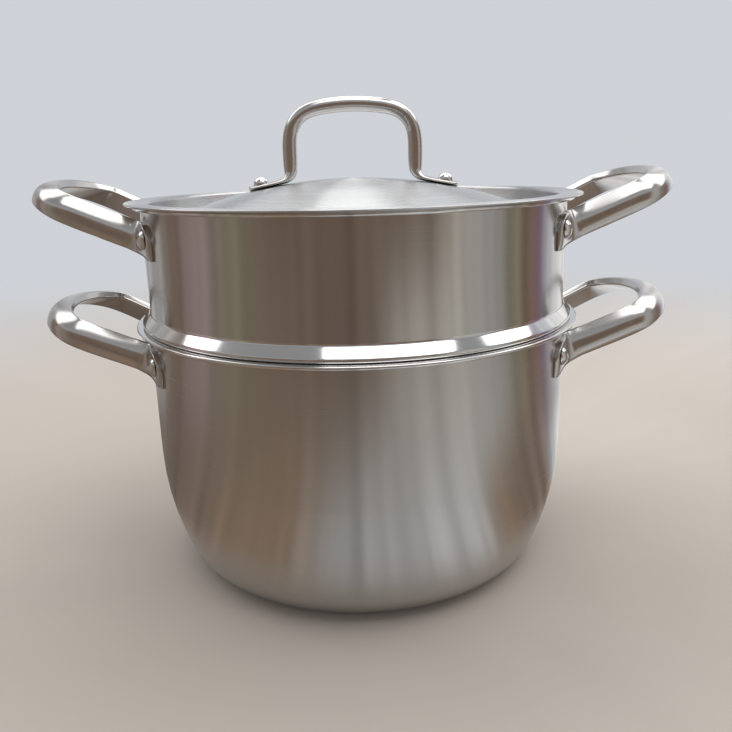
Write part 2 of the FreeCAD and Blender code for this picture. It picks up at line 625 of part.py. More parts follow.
def make_rivets():
    rivets = []
    # The inside heads stand off a hollow wall by its curve under the head
    for vessel, inside, wall, height in (
        ("pot", "pot_inner_radius", "pot_wall", POT_RIVET_HEIGHT),
        ("steamer", STEAMER_INSIDE, "steamer_sheet", STEAMER_RIVET_HEIGHT),
    ):
        stand_off = f"({inside} - sqrt({inside} ^ 2 - rivet_head ^ 2) + seat_gap)"
        grip = f"{wall} + pad_thickness - seat_gap + {stand_off}"
        distance = number(sheet, f"{inside} - {stand_off}")
        for pad, angle in PADS:
            place = radial_place(distance, angle, number(sheet, height))
            rivets.append(make_rivet(f"{vessel}_rivet_{pad}", "rivet_head", "rivet_dome", grip, place))
    under = Placement(Vector(0, 0, -size("lid_sheet") - size("seat_gap")), Rotation())
    for side, place in (("right", foot_place()), ("left", mirrored_place(foot_place()))):
        grip = "lid_sheet + foot_thickness"
        base = place.multiply(under)
        rivets.append(make_rivet(f"lid_rivet_{side}", "lid_rivet_head", "lid_rivet_dome", grip, base))
    return rivets


nodes = [make_pot(), make_steamer(), make_lid(), make_lid_handle()]
nodes += make_loop_handles("pot", POT_OUTER, POT_RIVET_HEIGHT)
nodes += make_loop_handles("steamer", STEAMER_OUTER, STEAMER_RIVET_HEIGHT)
nodes += make_rivets()
doc.recompute()

for item in doc.Objects:
    if "Invalid" in item.State or "Error" in item.State:
        raise RuntimeError(f"{item.Label} failed to compute: {item.State}")
for node in nodes:
    if node.Shape.isNull() or not node.Shape.isValid() or len(node.Shape.Solids) != 1:
        raise RuntimeError(f"{node.Label} is not one valid solid")

os.makedirs("parts", exist_ok=True)
for node in nodes:
    node.Shape.exportStep(f"parts/{node.Label}.step")
    box = node.Shape.BoundBox
    print(f"{node.Label}: {node.Shape.Volume / 1000:.2f} cm3, z {box.ZMin:.1f} to {box.ZMax:.1f}")
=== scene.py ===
import math

import bpy
import numpy as np
from mathutils import Matrix, Vector


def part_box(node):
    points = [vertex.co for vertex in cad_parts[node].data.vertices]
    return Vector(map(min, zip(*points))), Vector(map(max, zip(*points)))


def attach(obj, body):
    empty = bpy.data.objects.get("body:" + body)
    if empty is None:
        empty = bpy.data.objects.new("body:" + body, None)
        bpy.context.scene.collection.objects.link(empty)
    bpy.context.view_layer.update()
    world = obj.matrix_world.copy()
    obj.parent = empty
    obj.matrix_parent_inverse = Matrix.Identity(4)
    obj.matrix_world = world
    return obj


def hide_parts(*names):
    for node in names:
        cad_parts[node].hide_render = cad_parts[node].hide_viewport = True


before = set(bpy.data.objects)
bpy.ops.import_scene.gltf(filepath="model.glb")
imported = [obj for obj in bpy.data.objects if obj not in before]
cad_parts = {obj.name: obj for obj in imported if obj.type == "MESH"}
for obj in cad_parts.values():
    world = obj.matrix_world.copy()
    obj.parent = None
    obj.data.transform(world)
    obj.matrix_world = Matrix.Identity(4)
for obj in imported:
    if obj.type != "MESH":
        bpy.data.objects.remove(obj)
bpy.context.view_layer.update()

MM = 0.001

# Sizes of the sheets and their bends, in millimetres; the large sizes are read from the frame below
POT_WALL = 2.0
LIP_BEND = 2.5
SIDE_ARC = 155.0
SIDE_ARC_ANGLE = math.radians(21.6)
CORNER_ARC = 22.0
POT_OUTER = 122.0
STEAMER_OUTER = 120.5
STEAMER_SHEET = 1.0
RIM_ROLL = 1.2
RIM_BEND = 0.8
RIM_RADIUS = 124.5
SHOULDER_ANGLE = math.radians(42)
SHOULDER_NOSE = 1.6
SHOULDER_FILLET = 2.0
SPIGOT = 118.8
SPIGOT_BEND = 1.0
FLOOR_CORNER = 5.0
PLATE_MARGIN = 2.0
VENT_RADIUS = 4.0
VENT_PITCH = 22.0
VENT_RINGS = 4
INNER_VENTS = 6
VENT_EDGE = 0.15
LID_SHEET = 1.0
DOME_RADIUS = 290.0
WELL_RADIUS = 116.0
WELL_BEND = 5.0
WELL_WALL = 8.0
BRIM_BEND = 2.0
# Taken off roundings that would otherwise meet end to end; inside the pot more is taken off
TRIM = 0.01
INSIDE_TRIM = 0.5

# Loop handles, in millimetres: the loop, the section of its strap and the pads at its ends
LOOP_REACH = 52.6
LOOP_HALF_WIDTH = 43.7
LOOP_DEPTH = 21.4
LOOP_TURNS = np.radians(np.arange(0, 91, 18))
LOOP_SPLAY = math.radians(9.5)
LOOP_RISE = 26.8
RISE_SOFTNESS = 0.08
ARM_LEAN = math.radians(34)
TIP_LEAN = math.radians(52)
LOOP_BEND = 9.0
STRAP_HALF = 7.7
STRAP_FACE = 3.0
STRAP_BACK = -3.2
STRAP_FULLEST = 0.5
ARC_ABOVE = 24.0
ARC_BELOW = 9.0
HEIGHTS_ABOVE = (2.0, 4.0)
TURNS_BELOW = np.radians(np.arange(56, 0, -6))
LOW_BACK_EDGE = 1.0
FACE_EDGE = 1.2
TOP_BACK_EDGE = 1.5
PAD_HALF = 8.4
PAD_THICKNESS = 3.0
PAD_BACK = PAD_THICKNESS / 3
PAD_FLATNESS = 0.75
PAD_GAP = 0.05
RIVET_TURN = math.radians(28)
PAD_TURN = math.radians(31.4)
# Along the bend into a pad: share of the bend, and how much of a pad the strap is there
BEND_STATIONS = ((0, 0.12), (0.35, 0.42), (0.7, 0.74), (1, 0.94))
# Along a pad, from its rivet at 0 to its end at 1: share, drop, and the height and thickness that are left
PAD_STATIONS = (
    (-0.3, 0.2, 1, 1), (0.2, 1.1, 0.97, 1), (0.6, 2.6, 0.86, 0.95),
    (0.9, 4.6, 0.68, 0.75), (1, 6, 0.52, 0.25),
)

# Fineness of the meshes; lengths in millimetres
TURN_STEPS = 224
ARC_STEP = math.radians(5)
VENT_STEPS = 40
LOOP_STEPS = 220
FEWEST_STEPS = 3
DOME_STEPS = 24
WELL_STEPS = 12
LONG_SIDE = 3
RING_SPACING = 8
END_RING = 0.4
SAME_POINT = 1e-4
ON_AXIS = 1e-3
SHARP_ANGLE = math.radians(40)


def box_mm(node):
    """Low and high corner of a node's box, in millimetres."""
    low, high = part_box(node)
    return np.array(low) / MM, np.array(high) / MM


LIP_RADIUS, _, POT_TOP = box_mm("pot_body")[1]
SHOULDER_RADIUS, _, TIER_TOP = box_mm("steamer_body")[1]
TIER_FLOOR = box_mm("steamer_body")[0][2]
LID_RADIUS, _, CROWN = box_mm("lid")[1]
BRIM_TOP = TIER_TOP + LID_SHEET


def unit(vector):
    return vector / np.linalg.norm(vector)


def rounded(corners):
    """Points of an outline given by its corners: (radius, height) or (radius, height, rounding)."""
    places = [np.array(corner[:2], float) for corner in corners]
    bends = [corner[2] if len(corner) > 2 else 0 for corner in corners]
    runs = []
    for index, (here, bend) in enumerate(zip(places, bends)):
        if not bend:
            runs.append([here])
            continue
        back, ahead = unit(places[index - 1] - here), unit(places[index + 1] - here)
        half = math.acos(np.clip(back @ ahead, -1, 1)) / 2
        centre = here + unit(back + ahead) * bend / math.sin(half)
        reach = bend / math.tan(half)
        first, last = here + back * reach - centre, here + ahead * reach - centre
        start = math.atan2(first[1], first[0])
        sweep = (math.atan2(last[1], last[0]) - start + math.pi) % (2 * math.pi) - math.pi
        steps = max(FEWEST_STEPS, math.ceil(abs(sweep) / ARC_STEP))
        turns = start + sweep * np.arange(steps + 1) / steps
        runs.append([centre + bend * np.array([math.cos(turn), math.sin(turn)]) for turn in turns])
    points = list(runs[0])
    for run in runs[1:]:
        # Extra rings near the ends of a long straight side keep its shading straight
        start, end = points[-1], run[0]
        length = np.linalg.norm(end - start)
        if length > LONG_SIDE:
            near_end = END_RING / length
            between = np.linspace(0, 1, int(length / RING_SPACING) + 2)[1:-1]
            shares = np.unique([near_end, *between, 1 - near_end])
            points += [start + (end - start) * share for share in shares]
        points += run
    kept = [points[0]]
    for point in points[1:]:
        if np.linalg.norm(point - kept[-1]) > SAME_POINT:
            kept.append(point)
    return np.array(kept)


def link(name, data):
    """New object in the scene that shows a mesh, curve, lamp or camera."""
    made = bpy.data.objects.new(name, data)
    bpy.context.scene.collection.objects.link(made)
    return made


def add_mesh(name, vertices, faces, material, body, slot, nodes, polished=None):
    """Smooth mesh that rides a body; polished says which (radius, height) in millimetres takes the polish."""
    mesh = bpy.data.meshes.new(name)
    mesh.from_pydata([tuple(vertex) for vertex in vertices], [], faces)
    mesh.validate()
    mesh.shade_smooth()
    mesh.set_sharp_from_angle(angle=SHARP_ANGLE)
    mesh.materials.append(material)
    if polished:
        mesh.materials.append(POLISHED)
        for face in mesh.polygons:
            radius = max(math.hypot(*mesh.vertices[corner].co[:2]) for corner in face.vertices)
            face.material_index = int(polished(radius / MM, face.center.z / MM))
    piece = link(name, mesh)
    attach(piece, body)
    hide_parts(*nodes)


def turned(points):
    """Vertices and faces of an outline turned about Z, in metres; points on the axis become one vertex."""
    vertices, rings, faces = [], [], []
    for radius, height in points:
        first = len(vertices)
        count = 1 if radius < ON_AXIS else TURN_STEPS
        for step in range(count):
            turn = 2 * math.pi * step / TURN_STEPS
            vertices.append((radius * MM * math.cos(turn), radius * MM * math.sin(turn), height * MM))
        rings.append((first, count))
    for (low, low_count), (high, high_count) in zip(rings, rings[1:]):
        for step in range(TURN_STEPS):
            ahead = (step + 1) % TURN_STEPS
            if low_count == 1:
                faces.append((high + step, high + ahead, low))
            elif high_count == 1:
                faces.append((low + step, low + ahead, high))
            else:
                faces.append((low + step, low + ahead, high + ahead, high + step))
    return vertices, faces


def vented_plate(radius, low, high):
    """Vertices and faces, in metres, of a flat plate with rings of round vents and softened edges."""
    curve = bpy.data.curves.new("plate", "CURVE")
    curve.dimensions = "2D"
    curve.fill_mode = "BOTH"
    curve.extrude = ((high - low) / 2 - VENT_EDGE) * MM
    curve.bevel_depth = VENT_EDGE * MM
    curve.bevel_resolution = 1
    curve.offset = -VENT_EDGE * MM
    circles = [(0, 0, radius, TURN_STEPS), (0, 0, VENT_RADIUS, VENT_STEPS)]
    for ring in range(1, VENT_RINGS + 1):
        for step in range(INNER_VENTS * ring):
            turn = 2 * math.pi * step / (INNER_VENTS * ring)
            away = VENT_PITCH * ring
            circles.append((away * math.cos(turn), away * math.sin(turn), VENT_RADIUS, VENT_STEPS))
    for x, y, size, steps in circles:
        spline = curve.splines.new("POLY")
        spline.points.add(steps - 1)
        spline.use_cyclic_u = True
        for step, point in enumerate(spline.points):
            turn = 2 * math.pi * step / steps
            point.co = ((x + size * math.cos(turn)) * MM, (y + size * math.sin(turn)) * MM, 0, 1)
    holder = link("plate", curve)
    mesh = bpy.data.meshes.new_from_object(holder.evaluated_get(bpy.context.evaluated_depsgraph_get()))
    bpy.data.objects.remove(holder)
    bpy.data.curves.remove(curve)
    middle = (low + high) / 2 * MM
    vertices = [(vertex.co.x, vertex.co.y, vertex.co.z + middle) for vertex in mesh.vertices]
    return vertices, [tuple(face.vertices) for face in mesh.polygons]


def node_of(tree, kind, **sockets):
    """New node with values on its input sockets, named with underscores for spaces."""
    made = tree.nodes.new(kind)
    for name, value in sockets.items():
        made.inputs[name.replace("_", " ")].default_value = value
    return made


def math_node(tree, operation, first, second=None):
    """Output of a math node; each input is a number or another node's output."""
    made = tree.nodes.new("ShaderNodeMath")
    made.operation = operation
    for socket, value in zip(made.inputs, (first, second)):
        if value is None:
            continue
        if isinstance(value, (int, float)):
            socket.default_value = value
        else:
            tree.links.new(value, socket)
    return made.outputs[0]


def map_range(tree, value, low, high, first=0.0, last=1.0, smooth=False):
    """Output that goes from first to last while the value goes from low to high."""
    made = node_of(tree, "ShaderNodeMapRange", From_Min=low, From_Max=high, To_Min=first, To_Max=last)
    if smooth:
        made.interpolation_type = "SMOOTHSTEP"
    tree.links.new(value, made.inputs["Value"])
    return made.outputs[0]


def mix_colours(tree, factor, first, second):
    """Output of a mix of two colours; each is a plain colour or another node's output."""
    made = tree.nodes.new("ShaderNodeMix")
    made.data_type = "RGBA"
    tree.links.new(factor, made.inputs["Factor"])
    for name, value in (("A", first), ("B", second)):
        if isinstance(value, tuple):
            made.inputs[name].default_value = (*value, 1)
        else:
            tree.links.new(value, made.inputs[name])
    return made.outputs["Result"]


def mix_surfaces(tree, factor, first, second):
    """Put a mix of two shaders on the material's surface."""
    made = tree.nodes.new("ShaderNodeMixShader")
    for socket, output in zip(made.inputs, (factor, first.outputs[0], second.outputs[0])):
        tree.links.new(output, socket)
    tree.links.new(made.outputs[0], tree.nodes["Material Output"].inputs["Surface"])


def axis_distance(tree, x, y):
    """Output with the distance from the Z axis."""
    squares = [math_node(tree, "MULTIPLY", side, side) for side in (x, y)]
    return math_node(tree, "SQRT", math_node(tree, "ADD", *squares))


# Brushing: noise per metre along and across the grooves, their depth in metres, and clouds in the finish
GROOVES_ALONG = 7.0
GROOVES_ACROSS = 2200.0
GROOVE_DEPTH = 0.0002
CLOUD_SCALE = 18.0
DARKEST = 0.93
NOISE_SPAN = (0.25, 0.75)


def steel(name, colour, roughness, spread, grain, anisotropy=0.0, turn=0.0):
    """Steel with fine brushing: grooves run round the Z axis and vary the roughness, colour and surface."""
    material = bpy.data.materials.new(name)
    material.use_nodes = True
    tree = material.node_tree
    nodes, links = tree.nodes, tree.links
    shader = nodes["Principled BSDF"]
    shader.inputs["Metallic"].default_value = 1.0
    shader.inputs["Anisotropic"].default_value = anisotropy
    shader.inputs["Anisotropic Rotation"].default_value = turn
    if anisotropy:
        around = nodes.new("ShaderNodeTangent")
        around.direction_type = "RADIAL"
        around.axis = "Z"
        links.new(around.outputs["Tangent"], shader.inputs["Tangent"])

    place = nodes.new("ShaderNodeTexCoord").outputs["Object"]
    split = nodes.new("ShaderNodeSeparateXYZ")
    links.new(place, split.inputs[0])
    x, y, z = split.outputs
    across = math_node(tree, "ADD", axis_distance(tree, x, y), z)
    joined = nodes.new("ShaderNodeCombineXYZ")
    links.new(math_node(tree, "MULTIPLY", x, GROOVES_ALONG), joined.inputs[0])
    links.new(math_node(tree, "MULTIPLY", y, GROOVES_ALONG), joined.inputs[1])
    links.new(math_node(tree, "MULTIPLY", across, GROOVES_ACROSS), joined.inputs[2])
    fine = node_of(tree, "ShaderNodeTexNoise", Scale=1.0, Detail=4.0, Roughness=0.65)
    links.new(joined.outputs[0], fine.inputs["Vector"])
    cloud = node_of(tree, "ShaderNodeTexNoise", Scale=CLOUD_SCALE, Detail=3.0, Roughness=0.6)
    links.new(place, cloud.inputs["Vector"])

    rough = map_range(tree, fine.outputs["Fac"], *NOISE_SPAN, roughness - spread, roughness + spread)
    links.new(rough, shader.inputs["Roughness"])
    halves = [math_node(tree, "MULTIPLY", noise.outputs["Fac"], 0.5) for noise in (fine, cloud)]
    dark = tuple(channel * DARKEST for channel in colour)
    tone = mix_colours(tree, math_node(tree, "ADD", *halves), dark, colour)
    links.new(tone, shader.inputs["Base Color"])
    bump = node_of(tree, "ShaderNodeBump", Strength=grain, Distance=GROOVE_DEPTH)
    links.new(fine.outputs["Fac"], bump.inputs["Height"])
    links.new(bump.outputs["Normal"], shader.inputs["Normal"])
    return material


POT_STEEL = steel("pot_steel", (0.54, 0.52, 0.495), roughness=0.25, spread=0.03, grain=0.02,
                  anisotropy=0.8, turn=0.25)
TIER_STEEL = steel("tier_steel", (0.55, 0.53, 0.51), roughness=0.19, spread=0.03, grain=0.02,
                   anisotropy=0.8, turn=0.25)
LID_STEEL = steel("lid_steel", (0.60, 0.60, 0.60), roughness=0.28, spread=0.03, grain=0.015,
                  anisotropy=1.0, turn=0.25)
HANDLE_STEEL = steel("handle_steel", (0.60, 0.58, 0.56), roughness=0.2, spread=0.03, grain=0.01)
POLISHED = steel("polished_steel", (0.72, 0.71, 0.70), roughness=0.09, spread=0.02, grain=0.01)

# Pot: flat base, corner arc, long side arc, wall and lip, then back down the inside
meet_radius = POT_OUTER - SIDE_ARC * (1 - math.cos(SIDE_ARC_ANGLE))
meet_height = CORNER_ARC * (1 - math.sin(SIDE_ARC_ANGLE))
slope = math.tan(SIDE_ARC_ANGLE)
corner = (meet_radius - meet_height * slope, 0)
shoulder = (POT_OUTER, meet_height + (POT_OUTER - meet_radius) / slope)
in_corner = (corner[0] - POT_WALL * math.tan((math.pi / 2 - SIDE_ARC_ANGLE) / 2), POT_WALL)
in_shoulder = (POT_OUTER - POT_WALL, shoulder[1] + POT_WALL * math.tan(SIDE_ARC_ANGLE / 2))
lip_edge = POT_WALL / 2 - TRIM
pot_outline = rounded([
    (0, 0), (*corner, CORNER_ARC - TRIM), (*shoulder, SIDE_ARC - TRIM),
    (POT_OUTER, POT_TOP - POT_WALL, LIP_BEND - POT_WALL), (LIP_RADIUS, POT_TOP - POT_WALL, lip_edge),
    (LIP_RADIUS, POT_TOP, lip_edge), (POT_OUTER - POT_WALL, POT_TOP, LIP_BEND),
    (*in_shoulder, SIDE_ARC - POT_WALL - INSIDE_TRIM), (*in_corner, CORNER_ARC - POT_WALL - INSIDE_TRIM),
    (0, POT_WALL),
])
add_mesh("pot_shell", *turned(pot_outline), POT_STEEL, "pot", "brushed_steel", ["pot_body"],
         lambda radius, height: height > POT_TOP - LIP_BEND)

# Steamer tier: spigot, shoulder on the pot's lip, wall and rolled rim, then back down the inside
nose_slope = math.tan((math.pi / 2 - SHOULDER_ANGLE) / 2)
foot_corner = (SHOULDER_RADIUS - SHOULDER_NOSE + SHOULDER_NOSE / nose_slope, POT_TOP)
slant_height = (foot_corner[0] - STEAMER_OUTER) / math.tan(SHOULDER_ANGLE)
wall_corner = (STEAMER_OUTER, POT_TOP + slant_height)
inside = STEAMER_OUTER - STEAMER_SHEET
in_foot = (foot_corner[0] - STEAMER_SHEET / nose_slope, POT_TOP + STEAMER_SHEET)
in_wall = (inside, wall_corner[1] - STEAMER_SHEET * math.tan(SHOULDER_ANGLE / 2))
plate_radius = SPIGOT - FLOOR_CORNER - PLATE_MARGIN
rim_low = TIER_TOP - 2 * RIM_ROLL
tier_outline = rounded([
    (plate_radius, TIER_FLOOR), (SPIGOT, TIER_FLOOR, FLOOR_CORNER - TRIM), (SPIGOT, POT_TOP, SPIGOT_BEND),
    (*foot_corner, SHOULDER_NOSE), (*wall_corner, SHOULDER_FILLET), (STEAMER_OUTER, rim_low),
    (RIM_RADIUS, rim_low, RIM_ROLL - TRIM), (RIM_RADIUS, TIER_TOP, RIM_ROLL - TRIM),
    (inside, TIER_TOP, RIM_BEND), (*in_wall, SHOULDER_FILLET + STEAMER_SHEET),
    (*in_foot, SHOULDER_NOSE - STEAMER_SHEET),
    (SPIGOT - STEAMER_SHEET, POT_TOP + STEAMER_SHEET, SPIGOT_BEND + STEAMER_SHEET),
    (SPIGOT - STEAMER_SHEET, TIER_FLOOR + STEAMER_SHEET, FLOOR_CORNER - STEAMER_SHEET),
    (plate_radius, TIER_FLOOR + STEAMER_SHEET),
])
tier_points, tier_faces = turned(tier_outline)
plate_points, plate_faces = vented_plate(plate_radius, TIER_FLOOR, TIER_FLOOR + STEAMER_SHEET)
tier_faces += [tuple(corner + len(tier_points) for corner in face) for face in plate_faces]
tier_points += plate_points
shoulder_top = wall_corner[1] + SHOULDER_FILLET * math.tan(SHOULDER_ANGLE / 2)


def tier_polish(radius, height):
    """The shoulder's outside and the rolled rim are polished."""
    on_shoulder = radius > SPIGOT + STEAMER_SHEET and POT_TOP - STEAMER_SHEET < height < shoulder_top
    return on_shoulder or height > rim_low


add_mesh("tier_shell", tier_points, tier_faces, TIER_STEEL, "steamer", "brushed_steel", ["steamer_body"],
         tier_polish)

# Lid: dome, sunk ring and brim, under side out and upper side back
dome_slope = math.asin((WELL_RADIUS - WELL_BEND) / (DOME_RADIUS + WELL_BEND))
dome_centre = CROWN - DOME_RADIUS
toward_dome = -math.pi / 2 - dome_slope


def dome(radius):
    """Points from the crown down to the sunk ring."""
    turns = dome_slope * np.arange(0, DOME_STEPS + 1) / DOME_STEPS
    return [(radius * math.sin(turn), dome_centre + radius * math.cos(turn)) for turn in turns]


def well(radius, first, last):
    """Points round the bottom of the sunk ring."""
    middle = (WELL_RADIUS - WELL_BEND, dome_centre + (DOME_RADIUS + WELL_BEND) * math.cos(dome_slope))
    turns = first + (last - first) * np.arange(1, WELL_STEPS + 1) / WELL_STEPS
    return [(middle[0] + radius * math.cos(turn), middle[1] + radius * math.sin(turn)) for turn in turns]


brim_edge = LID_SHEET / 2 - TRIM
brim = rounded([
    (WELL_RADIUS + LID_SHEET, BRIM_TOP - WELL_WALL),
    (WELL_RADIUS + LID_SHEET, TIER_TOP, BRIM_BEND - LID_SHEET),
    (LID_RADIUS, TIER_TOP, brim_edge), (LID_RADIUS, BRIM_TOP, brim_edge),
    (WELL_RADIUS, BRIM_TOP, BRIM_BEND), (WELL_RADIUS, BRIM_TOP - WELL_WALL),
])
lid_outline = [
    *dome(DOME_RADIUS - LID_SHEET), *well(WELL_BEND + LID_SHEET, toward_dome, 0), *brim,
    *well(WELL_BEND, 0, toward_dome), *dome(DOME_RADIUS)[::-1],
]
add_mesh("lid_shell", *turned(lid_outline), LID_STEEL, "lid", "brushed_steel", ["lid"])


# Loop handles: a strap with a flat back and a round face, which turns into a pad at each end
def face_sag(up):
    """How far the strap's face falls back from its fullest line, at heights on the section."""
    arc = np.where(up > STRAP_FULLEST, ARC_ABOVE, ARC_BELOW)
    return arc - np.sqrt(arc ** 2 - (up - STRAP_FULLEST) ** 2)


low_edge, top_edge = STRAP_FACE - face_sag(np.array([-STRAP_HALF, STRAP_HALF]))
low_heights = STRAP_FULLEST - ARC_BELOW * np.sin(TURNS_BELOW)
face_heights = np.array([*low_heights, STRAP_FULLEST, *HEIGHTS_ABOVE])
strap = rounded([
    (STRAP_BACK, 0), (STRAP_BACK, -STRAP_HALF, LOW_BACK_EDGE), (low_edge, -STRAP_HALF, FACE_EDGE),
    *zip(STRAP_FACE - face_sag(face_heights), face_heights),
    (top_edge, STRAP_HALF, FACE_EDGE), (STRAP_BACK, STRAP_HALF, TOP_BACK_EDGE), (STRAP_BACK, 0),
])[:-1]


def loop_half(wall, height):
    """Rings of the strap from the middle of the loop's end to the end of one pad."""
    end, pad_middle = wall + LOOP_REACH, wall + PAD_BACK
    outward = np.array([math.cos(LOOP_SPLAY), math.sin(LOOP_SPLAY)])
    beside = np.array([-outward[1], outward[0]])
    arm_start = np.array([end - LOOP_DEPTH, LOOP_HALF_WIDTH])
    guide = arm_start + beside * LOOP_BEND
    along = guide @ outward
    arm_length = along - math.sqrt(along ** 2 - guide @ guide + (pad_middle + LOOP_BEND) ** 2)
    bend_centre = guide - outward * arm_length
    arm_end = bend_centre - beside * LOOP_BEND
    pad_start = math.atan2(bend_centre[1], bend_centre[0])
    start = pad_middle * math.cos(pad_start)

    def ring(point, heading, pad, drop=0, height_left=1, thickness_left=1):
        """Section of the strap at a point of its run; pad says how much of a pad it is there."""
        soft, progress = RISE_SOFTNESS, max(point[0] - start, 0) / (end - start)
        rise = (1 + soft) * progress ** 2 / (progress + soft)
        tilt = (1 + soft) * (progress ** 2 + 2 * progress * soft) / (progress + soft) ** 2
        tilt *= LOOP_RISE / (end - start)
        travel = unit(np.array([math.cos(heading), math.sin(heading), tilt * math.cos(heading)]))
        outside = unit(np.cross(travel, (-tilt, 0, 1)))
        upright = np.cross(outside, travel)
        lean = (TIP_LEAN + (ARM_LEAN - TIP_LEAN) * math.cos(heading) ** 2) * (1 - pad)
        up = upright * math.cos(lean) - outside * math.sin(lean)
        out = upright * math.sin(lean) + outside * math.cos(lean)
        up_scale = 1 + (PAD_HALF * height_left / STRAP_HALF - 1) * pad
        out_scale = 1 + ((PAD_THICKNESS - PAD_BACK) * thickness_left / STRAP_FACE - 1) * pad
        # A pad's face is flatter than the strap's
        sag = face_sag(strap[:, 1])
        to_face = (strap[:, 0] - STRAP_BACK) / (STRAP_FACE - sag - STRAP_BACK)
        face = strap[:, 0] + PAD_FLATNESS * pad * sag * to_face
        middle = np.array([*point, height + LOOP_RISE * rise - drop])
        return middle + np.outer(strap[:, 1] * up_scale, up) + np.outer(face * out_scale, out)

    rings = []
    for turn in LOOP_TURNS:
        point = (end - LOOP_DEPTH * (1 - math.cos(turn)), LOOP_HALF_WIDTH * math.sin(turn))
        heading = math.atan2(LOOP_HALF_WIDTH * math.cos(turn), -LOOP_DEPTH * math.sin(turn))
        rings.append(ring(point, heading, 0))
    rings.append(ring((arm_start + arm_end) / 2, math.pi + LOOP_SPLAY, 0))
    for share, pad in BEND_STATIONS:
        heading = math.pi + LOOP_SPLAY + (pad_start - math.pi / 2 - LOOP_SPLAY) * share
        point = bend_centre + LOOP_BEND * np.array([-math.sin(heading), math.cos(heading)])
        rings.append(ring(point, heading, pad))
    for share, drop, height_left, thickness_left in PAD_STATIONS:
        turn = RIVET_TURN + (PAD_TURN - RIVET_TURN) * share
        away = wall + PAD_BACK * thickness_left
        point = (away * math.cos(turn), away * math.sin(turn))
        rings.append(ring(point, math.pi / 2 + turn, 1, drop, height_left, thickness_left))
    return rings


def spline_weights(count, steps):
    """Weights of the control rings at each step along a smooth cubic curve that starts and ends on them."""
    cubic, tiny = 3, 1e-9
    knots = np.clip(np.arange(count + cubic + 1) - cubic, 0, count - cubic).astype(float)
    spots = np.linspace(0, count - cubic - tiny, steps)[:, None]
    weights = ((knots[:-1] <= spots) & (spots < knots[1:])).astype(float)
    for degree in range(1, cubic + 1):
        span = np.maximum(knots[degree:] - knots[:-degree], tiny)
        weights = ((spots - knots[:-degree - 1]) / span[:-1] * weights[:, :-1]
                   + (knots[degree + 1:] - spots) / span[1:] * weights[:, 1:])
    return weights


def loop_mesh(wall, height, side):
    """Vertices and faces, in metres, of a whole loop on one side of a vessel."""
    rear = loop_half(wall, height)
    front = [ring * (1, -1, 1) for ring in rear[:0:-1]]
    control = np.array(front + rear)
    steps, around = LOOP_STEPS, len(strap)
    points = (spline_weights(len(control), steps) @ control.reshape(len(control), -1)).reshape(-1, 3)
    # The back of a pad lies on the wall
    away = np.hypot(points[:, 0], points[:, 1])
    points[:, :2] *= (np.maximum(away, wall + PAD_GAP) / away)[:, None]
    points *= (side * MM, side * MM, MM)
    faces = [tuple(range(around))[::-1], tuple(range((steps - 1) * around, steps * around))]
    for step in range(steps - 1):
        for spot in range(around):
            low, ahead = step * around, (spot + 1) % around
            faces.append((low + spot, low + ahead, low + around + ahead, low + around + spot))
    return points, faces


for vessel, wall in (("pot", POT_OUTER), ("steamer", STEAMER_OUTER)):
    rivet_low, rivet_high = box_mm(f"{vessel}_rivet_right_front")
    for side, name in ((1, "right"), (-1, "left")):
        add_mesh(f"{vessel}_loop_{name}", *loop_mesh(wall, (rivet_low[2] + rivet_high[2]) / 2, side),
                 HANDLE_STEEL, vessel, "polished_steel", [f"{vessel}_handle_{name}"])

# The lid handle and the rivets keep their own shape and take a satin or polished finish
for name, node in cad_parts.items():
    if name == "lid_handle" or "rivet" in name:
        node.data.materials.clear()
        node.data.materials.append(HANDLE_STEEL if name == "lid_handle" else POLISHED)

# Floor, room and lamps, in metres and watts
BACKGROUND = (0.62, 0.645, 0.685)
CEILING = (0.33, 0.335, 0.345)
CEILING_RISE = (0.35, 0.8)
FLOOR_COLOUR = (0.52, 0.46, 0.405)
FLOOR_ROUGHNESS = 0.7
FLOOR_FADE = (0.35, 1.3)
FLOOR_HALF = 9
FLOOR_LEVEL = -2e-4


def floor_paint():
    """Matt paint that runs out into the colour of the background away from the object."""
    paint = bpy.data.materials.new("floor_paint")
    paint.use_nodes = True
    tree = paint.node_tree
    paper = tree.nodes["Principled BSDF"]
    paper.inputs["Base Color"].default_value = (*FLOOR_COLOUR, 1)
    paper.inputs["Roughness"].default_value = FLOOR_ROUGHNESS
    distance = tree.nodes.new("ShaderNodeVectorMath")
    distance.operation = "LENGTH"
    tree.links.new(tree.nodes.new("ShaderNodeNewGeometry").outputs["Position"], distance.inputs[0])
    fade = map_range(tree, distance.outputs["Value"], *FLOOR_FADE, smooth=True)
    mix_surfaces(tree, fade, paper, node_of(tree, "ShaderNodeEmission", Color=(*BACKGROUND, 1)))
    return paint


corner_signs = ((-1, -1), (1, -1), (1, 1), (-1, 1))
floor_corners = [(FLOOR_HALF * x, FLOOR_HALF * y, FLOOR_LEVEL) for x, y in corner_signs]
floor_mesh = bpy.data.meshes.new("floor")
floor_mesh.from_pydata(floor_corners, [], [(0, 1, 2, 3)])
floor_mesh.materials.append(floor_paint())
floor = link("floor", floor_mesh)


def room_world():
    """The colour of the background at eye level, and darker overhead."""
    world = bpy.data.worlds.new("room")
    world.use_nodes = True
    tree = world.node_tree
    split = tree.nodes.new("ShaderNodeSeparateXYZ")
    tree.links.new(tree.nodes.new("ShaderNodeTexCoord").outputs["Generated"], split.inputs[0])
    overhead = map_range(tree, split.outputs["Z"], *CEILING_RISE, smooth=True)
    tree.links.new(mix_colours(tree, overhead, BACKGROUND, CEILING), tree.nodes["Background"].inputs["Color"])
    return world


bpy.context.scene.world = room_world()


